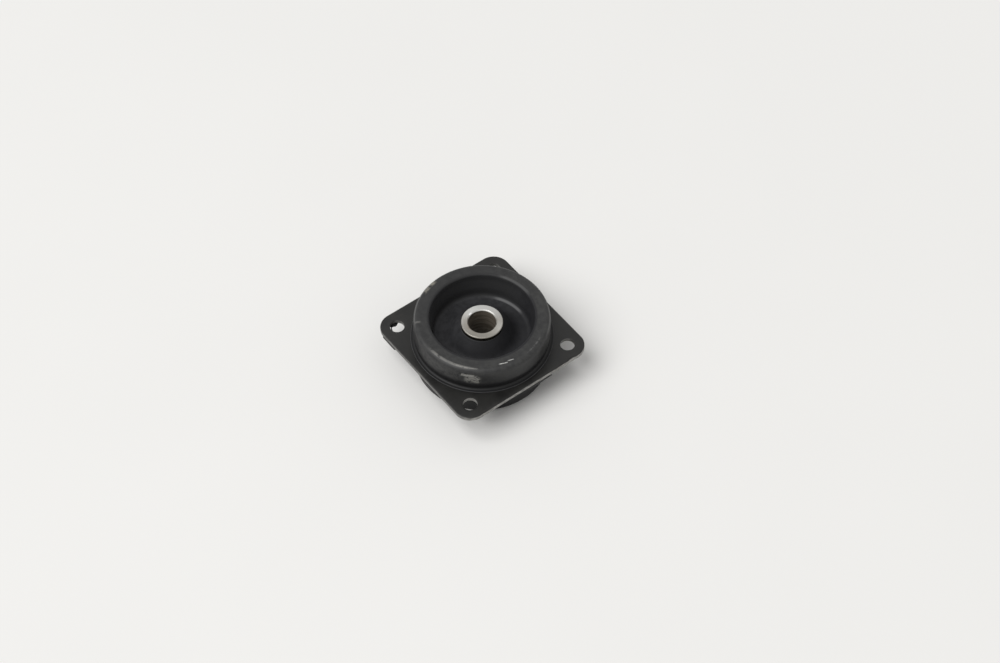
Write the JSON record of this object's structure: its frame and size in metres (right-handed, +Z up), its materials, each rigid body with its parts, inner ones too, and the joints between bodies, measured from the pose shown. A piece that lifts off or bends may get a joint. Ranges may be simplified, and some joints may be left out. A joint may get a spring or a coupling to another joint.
{
  "type": "engine mount",
  "caption": "Square-flanged engine mount: a steel plate bonded into a rubber body with a round ring and well on each face and a plain steel sleeve through the middle.",
  "frame": {"origin": "centre of the sleeve's bore, half way through the plate's thickness", "axes": "+Z up along the bore, out of the face with the clean plate; X and Y square to the plate's sides"},
  "size_m": [0.075, 0.075, 0.0322],
  "materials": {
    "plate_steel": "thin dull black coating with bare steel on the worn cut edges",
    "moulded_rubber": "dull moulded black rubber, scuffed grey on the shoulder",
    "sleeve_steel": "turned bare steel with faint rust tint"
  },
  "bodies": {
    "root": {"mounting_plate": "plate_steel", "rubber_body": "moulded_rubber", "centre_sleeve": "sleeve_steel"}
  },
  "joints": []
}
